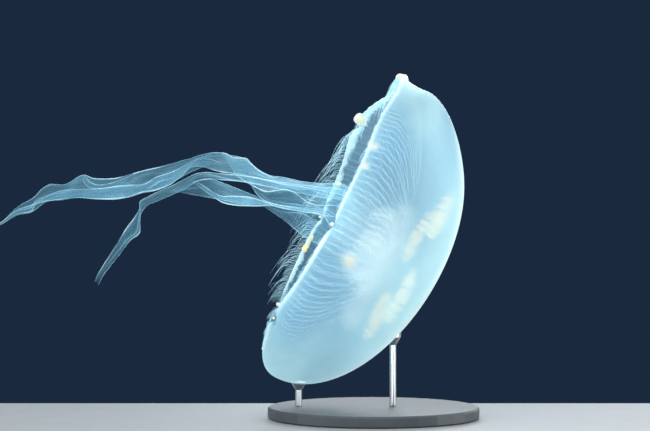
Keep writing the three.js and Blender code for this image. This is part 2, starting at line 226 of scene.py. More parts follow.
edge.width, edge.segments, edge.limit_method = 0.002, 3, "ANGLE"
shelf_paint, n = bare_material("shelf_paint")
grain = n.noise(n.place(), 60, 4)
paint = n.tint(grain, (0.26, 0.27, 0.28), (0.30, 0.31, 0.32))
opaque(n, paint, 0.6, n.bump(n.noise(n.place(), 900, 2), 0.00005))
slab.materials.append(shelf_paint)

# --- The bell -------------------------------------------------------------------------------------------
# A dome of clear milky jelly with a hollow under it, thick at the apex and thin at the rim, where eight
# lappets meet at the notches of the sense organs. It is one body, from the apex round the rim to the ceiling.

MM = 0.001  # the animal's sizes are in millimetres, and its meshes in metres

RIM_CENTRE = np.array((-30.0, 0.0, 123.0))
NOSE_DOWN, NOSE_FAR = math.radians(28.5), math.radians(2.5)
APEX_WARD = np.array(
    (math.cos(NOSE_DOWN) * math.cos(NOSE_FAR), math.sin(NOSE_FAR), -math.sin(NOSE_DOWN) * math.cos(NOSE_FAR))
)
TOP_WARD = np.array((math.sin(NOSE_DOWN), 0, math.cos(NOSE_DOWN)))
FAR_WARD = np.cross(TOP_WARD, APEX_WARD)
FAR_WARD /= np.linalg.norm(FAR_WARD)

BELL_RADIUS, EQUATOR, DOME_HEIGHT, DOME_SAG = 99.0, 19.0, 59.3, 1.2
RIM_WALL, LAPPET_HEIGHT, LAPPET_WALL = 2.2, 9.15, 3.3
CEILING = (  # rings of the hollow's ceiling, as radius and height
    (0, 48),
    (13, 47.3),
    (26, 45.5),
    (37, 43),
    (48, 40),
    (58, 36),
    (67, 31.5),
    (75, 27),
    (82, 22.5),
    (88, 17.5),
    (BELL_RADIUS - LAPPET_WALL, LAPPET_HEIGHT),
)
NOTCH = 2.8
RIPPLES, RIPPLE_DEPTH = 8 * 12, 0.12
TOP_FLATTENING, TOP_PINCH = 0.06, 1.0
CURL = {"flank": 8.0, "bottom": 12.0, "top": -1.6}
RIM_WAVES = ((46, 13, 7.5), (-45, 15, 2.8), (-134, 14, 3.2), (130, 22, -2.0))  # where, how wide, how deep
RIM_WAVES += ((0, 13, 3.2), (180, 30, -4.5), (60, 18, 3.0), (33, 11, 3.2), (20, 6, -1.5))


def in_bell(degrees, radius, height):
    """A place from the degrees round from the top, the radius and the height above the rim."""
    angle = np.radians(degrees)
    top, far = radius * np.cos(angle) - DOME_SAG, radius * np.sin(angle)
    height, top, far = np.broadcast_arrays(height, top, far)
    return RIM_CENTRE + height[..., None] * APEX_WARD + top[..., None] * TOP_WARD + far[..., None] * FAR_WARD


def hump(degrees, centre, width):
    """1 at one place round the bell, falling to 0 on both sides of it."""
    turn = (degrees - centre + 180) % 360 - 180
    return np.exp(-((turn / width) ** 2))


def in_living_bell(degrees, radius, height):
    """The same place in the bell as it lives, its margin curled in and its rim in waves."""
    degrees, radius, height = np.broadcast_arrays(
        np.asarray(degrees, float), np.asarray(radius, float), np.asarray(height, float)
    )
    down = np.clip((EQUATOR - height) / EQUATOR, 0, 1.2)
    curl = (
        CURL["flank"]
        + (CURL["bottom"] - CURL["flank"]) * hump(degrees, 180, 50)
        + (CURL["top"] - CURL["flank"]) * hump(degrees, 0, 32)
    )
    pinch = TOP_PINCH * hump(degrees, 0, 32) * np.sin(np.pi * np.minimum(down, 1))
    drop = sum(depth * hump(degrees, at, width) for at, width, depth in RIM_WAVES)
    rise = np.clip((height - EQUATOR) / DOME_HEIGHT, 0, 1)
    full = 1 - TOP_FLATTENING * hump(degrees, 0, 60) * np.sin(np.pi * rise**1.6)
    return in_bell(degrees, radius * full - curl * down**2 - pinch, height - drop * down**2)


def inner_radius(height):
    """The radius of the inside of a lappet."""
    return BELL_RADIUS - RIM_WALL - (LAPPET_WALL - RIM_WALL) * height / LAPPET_HEIGHT


def smooth_line(knots, count):
    """Points along a smooth line through knots, spaced evenly in knot number."""
    knots = np.array(knots, float)
    knots = np.vstack([2 * knots[0] - knots[1], knots, 2 * knots[-1] - knots[-2]])
    share = np.linspace(0, len(knots) - 3, count)
    first = np.minimum(share.astype(int), len(knots) - 4)
    t = (share - first)[:, None]
    p = [knots[first + k] for k in range(4)]
    gap = [np.maximum(np.linalg.norm(p[k + 1] - p[k], axis=1) ** 0.5, 1e-3)[:, None] for k in range(3)]
    a = (p[1] - p[0]) / gap[0] - (p[2] - p[0]) / (gap[0] + gap[1]) + (p[2] - p[1]) / gap[1]
    b = (p[2] - p[1]) / gap[1] - (p[3] - p[1]) / (gap[1] + gap[2]) + (p[3] - p[2]) / gap[2]
    a, b = a * gap[1], b * gap[1]
    return p[1] + a * t + (-3 * p[1] + 3 * p[2] - 2 * a - b) * t**2 + (2 * p[1] - 2 * p[2] + a + b) * t**3


def notch(degrees):
    """How high the rim's edge lies, notched at each sense organ."""
    across = (degrees % 45) / 22.5 - 1
    return NOTCH * np.abs(across) ** 6 * (1 - 0.85 * hump(degrees, -45, 15))


def closed_skin(name, rings, ends=None, layers=()):
    """One closed mesh through rings of points, in millimetres, with its two ends closed by fans. Layers
    gives named numbers for its points, in the rings' own layout."""
    rows, around = rings.shape[:2]
    ends = np.array([rings[0].mean(0), rings[-1].mean(0)] if ends is None else ends)
    points = np.vstack([rings.reshape(-1, 3), ends]) * MM
    r, c = np.meshgrid(np.arange(rows - 1), np.arange(around), indexing="ij")
    after = (c + 1) % around
    quads = np.stack([r * around + c, r * around + after, (r + 1) * around + after, (r + 1) * around + c], -1)
    maps = np.stack([np.stack([u, v], -1) for u, v in ((c, r), (c + 1, r), (c + 1, r + 1), (c, r + 1))], -2)
    quads, maps = quads.reshape(-1, 4), maps.reshape(-1, 4, 2) / (around, rows - 1)
    c = np.arange(around)
    first = np.stack([np.full(around, rows * around), (c + 1) % around, c], -1)
    row = (rows - 1) * around
    last = np.stack([np.full(around, rows * around + 1), c + row, (c + 1) % around + row], -1)
    fans = np.vstack([first, last])
    fan_maps = np.stack([np.append(c + 0.5, c + 0.5), np.append(c + 1, c), np.append(c, c + 1)], -1)
    fan_maps = np.stack([fan_maps / around, np.repeat([0.0, 1.0], around)[:, None].repeat(3, 1)], -1)
    a, b, d, e = (points[quads[:, k]] for k in range(4))
    volume = (np.einsum("ij,ij->i", a, np.cross(b, d)) + np.einsum("ij,ij->i", a, np.cross(d, e))).sum()
    if volume < 0:
        quads, maps, fans, fan_maps = quads[:, ::-1], maps[:, ::-1], fans[:, ::-1], fan_maps[:, ::-1]
    mesh = bpy.data.meshes.new(name)
    mesh.from_pydata(points.tolist(), [], quads.tolist() + fans.tolist())
    mesh.uv_layers.new(name="along").data.foreach_set("uv", np.concatenate([maps.ravel(), fan_maps.ravel()]))
    for layer, values in dict(layers).items():
        values = np.concatenate([values.ravel(), [values[0].mean(), values[-1].mean()]])
        mesh.attributes.new(layer, "FLOAT", "POINT").data.foreach_set("value", values)
    mesh.shade_smooth()
    return mesh


AROUND = 480
degrees = np.arange(AROUND) * 360 / AROUND
edge_height = notch(degrees) + RIPPLE_DEPTH * (1 - np.cos(np.radians(degrees * RIPPLES)))
slope = np.radians(np.linspace(88.8, 0, 60))[:, None]
margin = np.linspace(0, 1, 16)[1:, None]
round_edge = np.radians(np.linspace(0, 180, 9))[1:-1, None]
lip = RIM_WALL / 2
outer_margin = EQUATOR * (1 - margin) + (edge_height + lip) * margin
inner_margin = LAPPET_HEIGHT * (1 - margin[::-1]) + (edge_height + lip) * margin[::-1]
ceiling = smooth_line(CEILING, 70)[::-1]
ones = np.ones(AROUND)
rows = [
    (BELL_RADIUS * np.cos(slope) * ones, (EQUATOR + DOME_HEIGHT * np.sin(slope)) * ones, 0),
    (BELL_RADIUS * ones * (margin**0), outer_margin, 0),
    (BELL_RADIUS - lip + lip * np.cos(round_edge) * ones, edge_height + lip - lip * np.sin(round_edge), 0.5),
    (inner_radius(inner_margin), inner_margin, 1),
    (ceiling[:-1, :1] * ones, ceiling[:-1, 1:] * ones, 1),
]
radius = np.vstack([row[0] for row in rows])
height = np.vstack([row[1] for row in rows])
inside = np.vstack([np.full(row[0].shape, row[2], float) for row in rows])
ends = [in_bell(0, 0.0, EQUATOR + DOME_HEIGHT), in_bell(0, 0.0, CEILING[0][1])]
turned = np.broadcast_to(degrees, radius.shape)
rings = in_living_bell(turned, radius, height)
BLUSHES = (-97.9, 19.3, 3.7), (-57.5, 2.8, 2.1), (-66, 2.8, 1.8)  # degrees round, height and size
blush = 0.0
for at, up, size in BLUSHES:
    away = np.radians((turned - at + 180) % 360 - 180) * BELL_RADIUS
    blush = blush + np.exp(-(away**2 + (height - up) ** 2) / size**2) * (height < 40)
THIN_PLACES = (  # degrees round and half width, height and half height, how much thinner
    (-52, 28, 44, 15, 0.32),
    (-142, 22, 42, 12, 0.45),
    (-162, 28, 19, 12, -0.9),
    (-31, 16, 19, 10, -1.0),
    (58, 20, 8, 14, -0.5),
    (-6, 20, 36, 15, 0.75),
    (-72, 17, 28, 14, 0.85),
    (-12, 14, 9, 9, -2.0),
    (-30, 20, 45, 12, 0.4),
    (78, 24, 27, 18, 0.45),
    (112, 22, 38, 14, 0.4),
    (180, 30, 8, 12, -0.6),
    (-85, 13, 10, 9, -0.8),
    (-103, 16, 36, 12, 0.3),
    (-155, 16, 34, 8, 0.45),
)
MOST_THINNED = 0.8
# Where the rim is thicker or thinner, as degrees round, half width and how much.
LUSH_RIM = (45, 42, 1.0), (-12, 15, 0.8), (106, 20, 1.0), (-94, 12, 0.5), (62, 8, -0.6)
lean = 0.0
for at, wide, up, tall, much in THIN_PLACES:
    lean = lean + much * hump(turned, at, wide) * np.exp(-(((height - up) / tall) ** 2))
layers = {
    "inside": inside,
    "lean": np.where(lean > 0, MOST_THINNED * np.tanh(lean / MOST_THINNED), lean),
    "rise": height,
    "spread": radius,
    "crest": hump(turned, -3, 15) * np.clip(1 - height / 18, 0, 1),
    "far": 0.5 + 0.5 * np.sin(np.radians(turned)),
    "lush": sum(much * hump(turned, at, wide) for at, wide, much in LUSH_RIM),
    "blush": blush,
    "haze": hump(turned, -87, 15) * np.exp(-(((height - 23) / 13) ** 2)),
}
bell = link(closed_skin("bell_skin", rings, ends, layers), "bell_skin")

THIN_JELLY, MID_JELLY, MILKY_JELLY = (0.23, 0.51, 0.75), (0.54, 0.81, 0.87), (0.90, 0.98, 0.97)
BLUSH_ORANGE, LIT_JELLY = (1.0, 0.62, 0.28), (0.54, 0.82, 0.90)


def slanted(n, depth, power=1.0):
    """How much of a look is stopped by milk of some depth when a slanting look meets more of it."""
    slant = (1 - n.facing()).math("MAXIMUM", 0.06) ** power
    return 1 - (depth / slant * -1.0).math("EXPONENT")


def soft(n, depth, edge=0.5, blur=1.0):
    """The same for milk deep inside the jelly, whose edges are blurred."""
    return 1 - (depth * n.fade(1 - n.facing(), 0.0, edge) ** blur * -1.0).math("EXPONENT")


def jelly(n, shown, colour, lit_through, roughness=0.35, normal=None, gloss=0.25):
    """Shows clear jelly: shown is how much of a look through its surface it stops."""
    skin = {"Base Color": colour if isinstance(colour, Socket) else (*colour, 1), "Roughness": roughness}
    skin |= {"IOR": 1.34, "Specular IOR Level": gloss}
    if normal is not None:
        skin["Normal"] = normal
    front = n.add("ShaderNodeBsdfPrincipled", (), skin)
    behind = n.add("ShaderNodeBsdfTranslucent", (), {"Color": (*lit_through, 1)})
    body = n.add("ShaderNodeMixShader", (), {0: 0.4, 1: front, 2: behind})
    clear = n.add("ShaderNodeBsdfTransparent", (), ())
    n.show(n.add("ShaderNodeMixShader", (), {0: shown, 1: clear, 2: body}))


bell_jelly, n = bare_material("bell_jelly")
LAYERS = ("inside", "rise", "spread", "crest", "far", "lush", "blush", "lean", "haze")
within, rise, spread, crest, far_side, lush, blush, lean, hazy = (n.attribute(name) for name in LAYERS)
outside = 1 - within
cloud = n.noise(n.place(), 20, 2, 0.5)
ragged = rise + far_side * (8.0 * (n.noise(n.place(), 150, 4) - 0.5))
rim_band = 1 - n.fade(ragged, 0.2 + 1.4 * lush, 2.6 + 1.4 * lush)
thick = n.fade(rise, 13, 46)
streaks = n.noise(n.along(190, 3), 1.0, 2)
glow = (rise * -0.30).math("EXPONENT") * (1 - far_side)
film = 0.25 - 0.06 * far_side * (1 - thick) + 0.34 * thick
film = film * (1 - lean) + 0.13 * hazy + 0.38 * glow + 0.3 * blush + 0.06 * blush**0.25
over = slanted(n, (film + (0.2 + 1.4 * lush) * rim_band + 1.0 * crest) * (0.65 + 0.7 * cloud), 0.45)
stomach = 1 - n.fade(spread, 5, 62)
under = 0.15 + 0.02 * far_side + 0.5 * stomach + (0.5 + 2.4 * lush) * rim_band + 0.2 * (streaks - 0.5)
under = soft(n, under * (0.65 + 0.7 * cloud) + 1.2 * blush, 0.7)
shown = over + within * (under - over)
# The dome's edge, where the look grazes it, is painted whiter, most of all towards the apex: partly the
# longer path through milky jelly, partly a painted highlight along the edge on the side where light from the
# right falls.
limb_milk_and_light = n.fade(n.facing(), 0.72, 0.96) * (0.1 + 0.9 * n.fade(rise, 30, 60))
white = 0.9 * rim_band
for other in (outside * limb_milk_and_light, 0.45 * hazy, crest):
    white = white.math("MAXIMUM", other)
colour = n.tint(n.fade(shown, 0.12, 0.62) * (1 - 0.7 * lean), THIN_JELLY, MID_JELLY)
colour = n.tint(white.math("MINIMUM", 1.0), colour, MILKY_JELLY)
colour = n.tint(blush * 0.85, colour, BLUSH_ORANGE)
warts = n.bump(n.noise(n.place(), 1400, 2), 0.00005, 0.3)
jelly(n, shown, colour, LIT_JELLY, 0.45, warts, 0.12)
bell.data.materials.append(bell_jelly)
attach(bell, "root")
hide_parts("bell_crown", *[f"{part}_{i}" for part in ("bell", "lappet") for i in range(1, 9)])

# --- The canals -----------------------------------------------------------------------------------------
# Hair-thin whitish canals in the jelly of the ceiling that carry food from the stomach to the rim. They
# start as eighteen stems, fork three times, join here and there, and end at the rim.

STOMACH_EDGE, RIM_CANAL = 44, 1.0
STEMS, FORKS, CANAL_STEP = 18, (0.04, 0.14, 0.30), 0.026
random = np.random.default_rng(11)
meridian = np.vstack([ceiling[ceiling[:, 0] > STOMACH_EDGE][::-1], (inner_radius(RIM_CANAL), RIM_CANAL)])
reach = np.concatenate([[0], np.cumsum(np.hypot(*np.diff(meridian, axis=0).T))])
reach /= reach[-1]
steep = np.gradient(meridian, axis=0)
steep = np.stack([-steep[:, 1], steep[:, 0]], -1) / np.linalg.norm(steep, axis=1)[:, None]


def on_ceiling(degrees, share, proud=0.0):
    """A place on the ceiling, at a share of the way from the stomach's edge to the rim."""
    radius, height, outwards, apex_ward = (np.interp(share, reach, line) for line in (*meridian.T, *steep.T))
    height = np.maximum(height - apex_ward * proud, notch(degrees) + 0.8)
    return in_living_bell(degrees, radius - outwards * proud, height)


def canal(shares, drift, width):
    """A flat closed ribbon in the jelly, cloudy along its middle and clear at its edges."""
    turn = np.arange(8)[None, :] * np.pi / 4
    shares, drift, width = shares[:, None], drift[:, None], np.broadcast_to(width, shares.shape)[:, None]
    strength = 0.68 - 0.32 * np.sin(np.radians(drift))
    strength = strength + 0.5 * hump(drift, -22, 30) - 0.3 * hump(drift, -88, 26)
    strength *= np.clip((0.995 - shares) / 0.01, 0, 1)
    radius = np.interp(shares, reach, meridian[:, 0])
    degrees = drift + np.degrees(width / 2 * np.cos(turn) / radius)
    rings = on_ceiling(degrees, shares + 0 * turn, -0.3 - 0.15 * np.sin(turn))
    return closed_skin("canal", rings, None, {"cloudy": np.sin(turn) ** 2 * strength})


def joined(name, meshes):
    """One piece of several meshes."""
    pieces = [link(mesh, name) for mesh in meshes]
    with bpy.context.temp_override(active_object=pieces[0], selected_editable_objects=pieces):
        bpy.ops.object.join()
    pieces[0].name = pieces[0].data.name = name
    return pieces[0]


canals = []
tips = []


def grow_canal(start, degrees, spacing, level):
    """Adds one canal from a share of the way out, and those that fork from it."""
    end = 1.0 if level == len(FORKS) else FORKS[level] * random.uniform(0.75, 1.25)
    shares = np.linspace(start, end, 2 + int((end - start) / CANAL_STEP))
    settle = np.clip((shares - start) / 0.24, 0, 1)
    settle = settle * settle * (3 - 2 * settle)
    drift = degrees[0] + (degrees[1] - degrees[0]) * settle
    sway = 0.05 * spacing * np.sin(shares * random.uniform(28, 44) + random.uniform(0, 6))
    drift = drift + sway * np.clip((shares - start) / 0.1, 0, 1) * np.clip((end - shares) / 0.05, 0, 1)
    canals.append(canal(shares, drift, 1.9 - 0.3 * shares))
    if level == len(FORKS):
        tips.append((shares, drift))
        return
    for side in (-1, 1):
        to = degrees[1] + side * spacing / 4 + random.uniform(-0.07, 0.07) * spacing
        grow_canal(end, (drift[-1], to), spacing / 2, level + 1)


for stem in range(STEMS):
    at = stem * 360 / STEMS + random.uniform(-1.5, 1.5)
    grow_canal(0.0, (at, at), 360 / STEMS, 0)
for (shares_a, drift_a), (shares_b, drift_b) in zip(tips, tips[1:]):
    if random.random() < 0.3:
        at = random.uniform(0.7, 0.93)
        across = np.linspace(0, 1, 7)
        shares = at + 0.025 * across
        ends = (np.interp(shares, shares_a, drift_a), np.interp(shares, shares_b, drift_b))
        canals.append(canal(shares, ends[0] * (1 - across) + ends[1] * across, 1.2))

canal_milk, n = bare_material("canal_milk")
milk = (0.08 + 0.22 * n.noise(n.place(), 40, 2)) * n.attribute("cloudy")
jelly(n, soft(n, milk, 0.6), (0.78, 0.96, 0.98), (0.7, 0.9, 0.97), 0.6, None, 0.0)
canal_piece = joined("canals", canals)
canal_piece.data.materials.append(canal_milk)
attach(canal_piece, "root")

# --- The sense organs -----------------------------------------------------------------------------------
# A knob of pale jelly with an orange core in each of the eight notches, and swellings of the rim's own
# pigmented tissue, alone or in pairs, between some of them.


def ball_rings(steps=14, around=20):
    """The rings of a ball of radius 1."""
    polar = np.radians(np.linspace(6, 174, steps))[:, None]
    turn = np.radians(np.arange(around) * 360 / around)[None, :]
    x, y = np.sin(polar) * np.cos(turn), np.sin(polar) * np.sin(turn)
    return np.stack([x, y, np.cos(polar) + 0 * turn], -1)


def knob(degrees, size, rise=2.2, lumps=0.12, inwards=0.0):
    """A lumpy ball at the rim. Size is half its width round the rim, outwards and along the bell."""
    ball = ball_rings()
    x, y, z = (ball[..., k] for k in range(3))
    wobble = 1 + lumps * (np.sin(3.1 * x + degrees) * np.cos(2.3 * y) + 0.6 * np.sin(5 * z))
    ball = ball * wobble[..., None] * size
    centre = in_living_bell(degrees, BELL_RADIUS - RIM_WALL / 2 - inwards, rise)
    out = in_bell(degrees, 1.0, 0.0) - in_bell(degrees, 0.0, 0.0)
    around = np.cross(APEX_WARD, out)
    return centre + ball[..., :1] * around + ball[..., 1:2] * out + ball[..., 2:] * APEX_WARD


ORGAN_SIZE, CORE_SIZE = np.array((2.3, 2.1, 2.5)), np.array((1.5, 1.4, 1.6))
ORGANS_AT = (0, 42, 90, 135, 180, 225, 270, 315)
# How large each organ is and how high its hood and core lie, from the top round the far side.
PLUMP = (1.6, 1.9, 0.45, 0.6, 0.4, 0.3, 0.45, 0.22)
HOOD_RISE, CORE_RISE = (3.6,) + 7 * (1.4,), (2.6,) + 7 * (1.4,)
organs = [
    closed_skin("hood", knob(at, ORGAN_SIZE * size, rise))
    for at, size, rise in zip(ORGANS_AT, PLUMP, HOOD_RISE)
]
cores = [
    closed_skin("core", knob(at, CORE_SIZE * size, rise, 0.1) - 1.2 * size * FAR_WARD)
    for at, size, rise in zip(ORGANS_AT, PLUMP, CORE_RISE)
]
SWELLINGS = (  # degrees round, half sizes and height
    (74, (1.6, 1.3, 2.6), 2.4),
    (100.5, (3.0, 1.3, 1.5), 2.2),
    (105, (2.2, 1.9, 2.2), 1.8),
)
swellings = [
    closed_skin("swelling", knob(at, np.array(size), rise, 0.22, 1.2)) for at, size, rise in SWELLINGS
]

hood_jelly, n = bare_material("hood_jelly")
jelly(n, slanted(n, 0.5 + 0.6 * n.noise(n.place(), 300, 2)), (0.93, 0.95, 0.90), (0.9, 0.95, 0.9), 0.3)
pigment, n = bare_material("pigment")
patches = n.noise(n.place(), 260, 2)
orange = n.tint(n.fade(patches, 0.35, 0.7), (1.0, 0.93, 0.62), (1.0, 0.74, 0.28))
jelly(n, slanted(n, 0.9 + 2.0 * patches), orange, (1.0, 0.75, 0.4))
hoods = joined("sense_organs", organs)
hoods.data.materials.append(hood_jelly)
spots = joined("pigment_spots", cores + swellings)
spots.data.materials.append(pigment)
for piece in (hoods, spots):
    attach(piece, "root")
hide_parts(*[f"rhopalium_{i}" for i in range(1, 9)])

# --- The tentacles --------------------------------------------------------------------------------------
# Hundreds of hair-fine whitish threads that hang from just inside the lappets' edge. They curl and trail
# back as the bell moves on, each to its own length.

ROOTS, BARE_BY_ORGAN = 900, 2.2
LUSHEST = (62, 34, 1.0), (108, 26, 0.6), (12, 20, 0.5)  # degrees round, half width, how much longer
root_degrees = (np.arange(ROOTS) + 0.5) * 360 / ROOTS
root_degrees = root_degrees[np.abs((root_degrees + 22.5) % 45 - 22.5) > BARE_BY_ORGAN]
roots = in_living_bell(root_degrees, BELL_RADIUS - RIM_WALL / 2 - 0.3, notch(root_degrees) + 0.6)
outwards = in_bell(root_degrees, 1.0, 0.0) - in_bell(root_degrees, 0.0, 0.0)
root_mesh = bpy.data.meshes.new("tentacle_roots")
root_mesh.from_pydata((roots * MM).tolist(), [], [])
root_mesh.attributes.new("outwards", "FLOAT_VECTOR", "POINT").data.foreach_set("vector", outwards.ravel())
turn = np.radians(root_degrees)
clumps = 0.5 + 0.28 * np.sin(23 * turn + 1.2) + 0.22 * np.sin(51 * turn) + 0.15 * np.sin(97 * turn + 2)
lushness = 0.14
for at, wide, much in LUSHEST:
    lushness = lushness + much * hump(root_degrees, at, wide)
lushness *= (0.55 + 0.9 * clumps) * (1 - 0.7 * hump(root_degrees, 180, 35))
for name, values in (("lushness", lushness), ("droop", hump(root_degrees, 22, 42))):
    root_mesh.attributes.new(name, "FLOAT", "POINT").data.foreach_set("value", values)


def new_tree(name, inputs):
    """A Geometry Nodes tree with its named inputs, as {name: socket}."""
    tree = bpy.data.node_groups.new(name, "GeometryNodeTree")
    tree.interface.new_socket("Geometry", in_out="OUTPUT", socket_type="NodeSocketGeometry")
    for label, kind in (("Geometry", "Geometry"), *inputs):
        tree.interface.new_socket(label, in_out="INPUT", socket_type="NodeSocket" + kind)
    nodes, entry = Nodes(tree), tree.nodes.new("NodeGroupInput")
    return nodes, {label: Socket(nodes, entry.outputs[label]) for label in ("Geometry", *dict(inputs))}


def grown(name, seed_mesh, nodes, **values):
    """The plain mesh that a tree makes of a mesh."""
    piece = link(seed_mesh, name)
    growth = piece.modifiers.new("growth", "NODES")
    growth.node_group = nodes.tree
    for item in nodes.tree.interface.items_tree:
        if item.in_out == "INPUT" and item.name in values:
            growth[item.identifier] = values[item.name]
    evaluated = piece.evaluated_get(bpy.context.evaluated_depsgraph_get())
    mesh = bpy.data.meshes.new_from_object(evaluated)
    piece.modifiers.remove(growth)
    piece.data = mesh
    mesh.name = name
    return piece


FRINGE_SIZES = ("Length", "Float"), ("Thickness", "Float"), ("Curl", "Float")
FRINGE_INPUTS = (*FRINGE_SIZES, ("Joints", "Int"), ("Seed", "Int"), ("Finish", "Material"))
fringe, given = new_tree("fringe", FRINGE_INPUTS)


def chance(low, high, offset):
    """A random number for each tentacle."""
    seed = given["Seed"] + float(offset)
    return fringe.add("FunctionNodeRandomValue", {"data_type": "FLOAT"}, {2: low, 3: high, "Seed": seed}, 1)


def kept(geometry, name, value, kind="FLOAT"):
    sockets = {"Geometry": geometry, "Name": name, "Value": value}
    return fringe.add("GeometryNodeStoreNamedAttribute", {"data_type": kind}, sockets)


def recalled(name, kind="FLOAT"):
    return fringe.add("GeometryNodeInputNamedAttribute", {"data_type": kind}, {"Name": name})


def scaled(vector, by):
    return fringe.add("ShaderNodeVectorMath", {"operation": "SCALE"}, {0: vector, "Scale": by})


def total(*vectors):
    whole = vectors[0]
    for vector in vectors[1:]:
        whole = fringe.add("ShaderNodeVectorMath", {"operation": "ADD"}, {0: whole, 1: vector})
    return whole


points = kept(given["Geometry"], "root", fringe.add("GeometryNodeInputPosition"), "FLOAT_VECTOR")
points = kept(points, "long", chance(0.45, 1.35, 1) * recalled("lushness"))
points = kept(points, "phase", chance(0.0, 6.28, 2))
points = kept(points, "splay", chance(-1.0, 1.0, 3))
strand = fringe.add("GeometryNodeCurvePrimitiveLine", (), {"End": (0, 0, 0.001)})
strand = fringe.add("GeometryNodeResampleCurve", (), {"Curve": strand, "Count": given["Joints"]})
strands = fringe.add("GeometryNodeInstanceOnPoints", (), {"Points": points, "Instance": strand})
strands = fringe.add("GeometryNodeRealizeInstances", (), {"Geometry": strands})
along = fringe.add("GeometryNodeSplineParameter", (), (), "Factor")
span = given["Length"] * recalled("long")
curve = along * along
wave = (along * 7.5 + recalled("phase")).math("SINE") * given["Curl"] * along
lilt = (along * 5.5 + recalled("phase") * 2.0).math("COSINE") * given["Curl"] * along
out = recalled("outwards", "FLOAT_VECTOR")
across = fringe.add("ShaderNodeVectorMath", {"operation": "CROSS_PRODUCT"}, {0: tuple(APEX_WARD), 1: out})
DOWN = (-0.25, 0.0, -0.97)
droop = recalled("droop")
place = total(
    recalled("root", "FLOAT_VECTOR"),
    scaled(tuple(-APEX_WARD), span * (along * (0.95 - 0.45 * droop) - 0.3 * curve)),
    scaled(DOWN, span * (curve * 0.75 + 0.5 * droop * along)),
    scaled(out, span * (recalled("splay") * 0.25 * curve + wave)),
    scaled(across, span * (recalled("splay") * 0.2 * along + lilt)),
)
strands = fringe.add("GeometryNodeSetPosition", (), {"Geometry": strands, "Position": place})
outline = fringe.add("GeometryNodeCurvePrimitiveCircle", (), {"Resolution": 4, "Radius": 1.0})
taper = given["Thickness"] * (1 - 0.72 * along)
strands = {"Curve": strands, "Profile Curve": outline, "Scale": taper, "Fill Caps": True}
strands = fringe.add("GeometryNodeCurveToMesh", (), strands)
strands = fringe.add("GeometryNodeSetShadeSmooth", (), {"Geometry": strands})
strands = fringe.add("GeometryNodeSetMaterial", (), {"Geometry": strands, "Material": given["Finish"]})
fringe.tree.links.new(strands.plug, fringe.tree.nodes.new("NodeGroupOutput").inputs[0])

thread_white, n = bare_material("thread_white")
thread_milk = 0.45 + 0.8 * n.noise(n.place(), 200, 2)
jelly(n, soft(n, thread_milk, 0.2), (0.68, 0.92, 0.98), (0.6, 0.9, 1.0), 0.6, None, 0.0)
thread = {"Length": 0.0175, "Thickness": 0.00011, "Curl": 0.15, "Joints": 16, "Seed": 3}
tentacles = grown("tentacles", root_mesh, fringe, Finish=thread_white, **thread)
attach(tentacles, "root")
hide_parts(*[f"tentacles_{i}" for i in range(1, 9)])

# --- The gonads -----------------------------------------------------------------------------------------
# Four frilled horseshoes of pale orange-pink tissue deep in the jelly, open to the middle.

GONADS = {"first": -28, "height": 60.0, "ring": 40.0, "loop": 11.0, "sweep": 290}
GONAD_WIDE, GONAD_DEEP = 8.7, 6.2  # half of each
GONAD_FOLD, GONAD_SWAY = 0.06, 0.4  # how far the folds thicken it and push it to and fro


def gonad_rings(middle, steps=200, around=22):
    """A horseshoe tube whose walls are thrown into folds."""
    along = np.linspace(-1, 1, steps)[:, None]
    turn = np.radians(np.arange(around) * 360 / around)[None, :]
    angle = np.radians(middle) + along * np.radians(GONADS["sweep"] / 2)
    taper = np.sqrt(np.clip(1 - np.abs(along) ** 7, 0.02, 1))
    folds = 0.55 * np.sin(46 * along + 1.2 * np.sin(9 * along)) + 0.25 * np.sin(77 * along + middle)
    width = GONAD_WIDE * np.cos(turn) * (1 + GONAD_FOLD * folds) + GONAD_SWAY * folds
    loop = GONADS["loop"] + width * taper
    top = GONADS["ring"] * math.cos(math.radians(middle)) + loop * np.cos(angle)
    side = GONADS["ring"] * math.sin(math.radians(middle)) + loop * np.sin(angle)
    spread = np.hypot(top, side)
    depth = GONAD_DEEP * np.sin(turn) * (1 + GONAD_FOLD * folds * np.cos(3 * turn)) * taper
    return in_living_bell(np.degrees(np.arctan2(side, top)), spread, GONADS["height"] + depth)


gonad_tissue, n = bare_material("gonad_tissue")
grain = n.noise(n.place(), 140, 3)
pink = n.tint(n.fade(grain - 0.8 * n.facing(), 0.1, 0.55), (1.0, 0.89, 0.66), (1.0, 0.70, 0.38))
jelly(n, soft(n, 0.5 + 1.4 * grain, 1.0, 6.0), pink, (1.0, 0.80, 0.62), 0.6, n.bump(grain, 0.0003))
gonads = joined("gonads", [closed_skin("gonad", gonad_rings(GONADS["first"] + 90 * i)) for i in range(4)])
gonads.data.materials.append(gonad_tissue)
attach(gonads, "root")
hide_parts(*[f"gonad_{i}" for i in range(1, 5)])

# --- The stomach ----------------------------------------------------------------------------------------
# The milky pouch that the stalk opens into and the gonads lie round. Here it is a haze without edges, partly
# in the jelly and partly below its ceiling.

STOMACH = {"height": 44.0, "radius": 45.0, "deep": 20.0, "sag": 9.0}
polar = np.radians(np.linspace(3, 177, 60))[:, None]
turn = np.arange(120)[None, :] * 3.0
lobes = 1 + 0.07 * np.cos(np.radians(4 * (turn - 10)))
pouch_height = STOMACH["height"] + STOMACH["deep"] * np.cos(polar) + 0 * turn
rings = in_living_bell(turn, STOMACH["radius"] * np.sin(polar) * lobes, pouch_height)
stomach = link(closed_skin("stomach", rings - STOMACH["sag"] * TOP_WARD), "stomach")
stomach_milk, n = bare_material("stomach_milk")
haze = n.noise(n.place(), 38, 3)
jelly(n, soft(n, 1.2 * haze * haze + 0.1, 1.0, 3.0), (1.0, 0.97, 0.87), (1.0, 0.97, 0.9), 0.6)
stomach.data.materials.append(stomach_milk)
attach(stomach, "root")

# --- The mouth stalk ------------------------------------------------------------------------------------
# A short stalk of the same jelly under the middle of the ceiling, drawn into four pleated corners at the
# lip, where the four arms begin.

